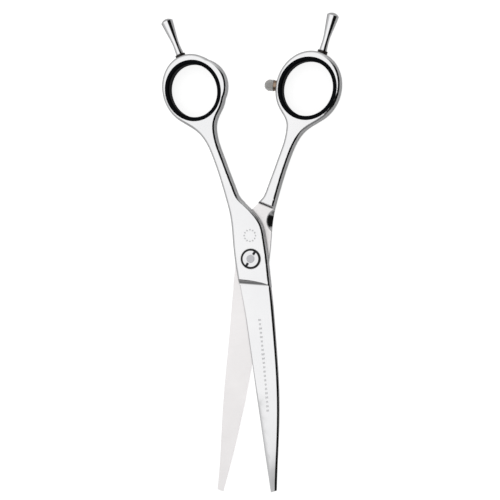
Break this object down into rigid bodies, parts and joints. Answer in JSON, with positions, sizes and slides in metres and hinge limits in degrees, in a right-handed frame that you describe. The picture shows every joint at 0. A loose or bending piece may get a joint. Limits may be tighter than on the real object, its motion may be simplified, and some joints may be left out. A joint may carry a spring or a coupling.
{
  "type": "hair cutting shears",
  "caption": "Curved grooming shears with finger rings, ring inserts, screw-in finger rests, a bumper and an adjustable slotted pivot nut.",
  "frame": {"origin": "on the pivot axis, in the plane of the underside that the shears lie on", "axes": "+Z is the pivot axis and points to the slotted nut, +Y runs from the pivot towards the finger rings, halfway between the two halves, and the blades point along -Y"},
  "size_m": [0.0834, 0.2145, 0.0197],
  "materials": {
    "polished_steel": "mirror polished, satin on the inner blade faces",
    "bright_trim": "polished",
    "seat_brass": "darkened",
    "insert_black": "gloss",
    "washer_black": "satin",
    "bumper_clear": "translucent gloss",
    "nylon_white": "matte",
    "nylon_black": "satin"
  },
  "bodies": {
    "rear_half": {"rear_blade_half": "polished_steel", "rear_ring_insert": "insert_black", "rear_rest_washer": "washer_black", "rear_finger_rest": "bright_trim", "bumper_seat": "seat_brass", "bumper_dome": "bumper_clear", "pivot_stud": "bright_trim", "glide_washer": "nylon_white"},
    "front_half": {"front_blade_half": "polished_steel", "front_ring_insert": "insert_black", "front_rest_washer": "washer_black", "front_finger_rest": "bright_trim", "pivot_bushing": "nylon_white", "spring_washer": "bright_trim", "nut_cup_washer": "nylon_black"},
    "adjuster": {"tension_nut": "bright_trim", "nut_lock_ring": "nylon_white"}
  },
  "joints": [
    {"name": "blade_pivot", "type": "hinge", "parent": "rear_half", "child": "front_half", "pos_m": [0, 0, 0.0033], "axis": [0, 0, 1], "range_deg": [-12.2, 48]},
    {"name": "tension_adjust", "type": "hinge", "parent": "rear_half", "child": "adjuster", "pos_m": [0, 0, 0.006], "axis": [0, 0, 1], "range_deg": [-90, 90]}
  ]
}
